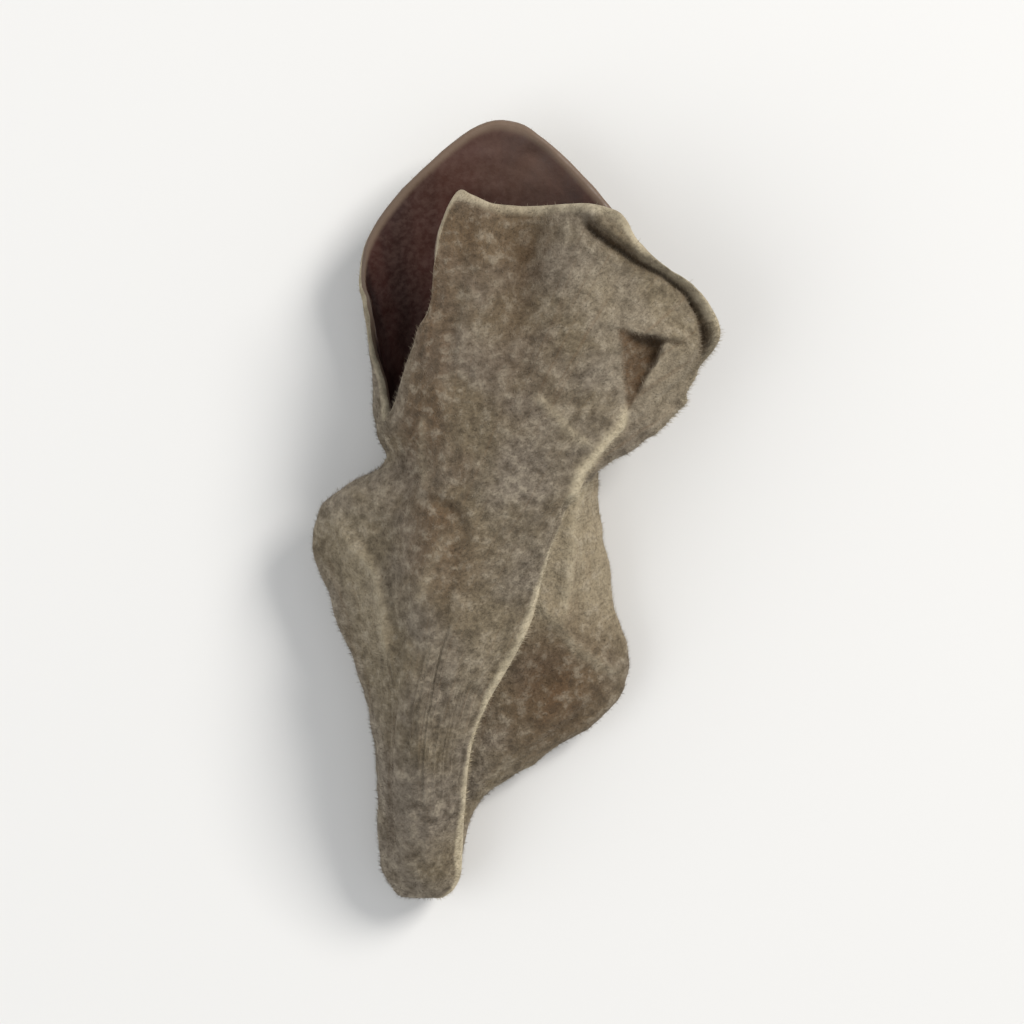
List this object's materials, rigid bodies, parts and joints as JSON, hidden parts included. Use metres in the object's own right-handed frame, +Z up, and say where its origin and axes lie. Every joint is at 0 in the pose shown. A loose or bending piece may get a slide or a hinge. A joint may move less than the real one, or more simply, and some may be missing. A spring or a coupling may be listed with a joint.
{
  "type": "dried wood ear mushroom",
  "caption": "Dried wood ear rolled up like a cornet, felted outside and dark inside, lying on its flat back.",
  "frame": {"origin": "on the surface it lies on, under the middle of its length and width", "axes": "+Y from the cut foot to the open mouth, +Z up from the surface, +X to the right seen from above"},
  "size_m": [0.0366, 0.0716, 0.0166],
  "materials": {
    "flesh": "matte"
  },
  "bodies": {
    "root": {"ear": "flesh"}
  },
  "joints": []
}
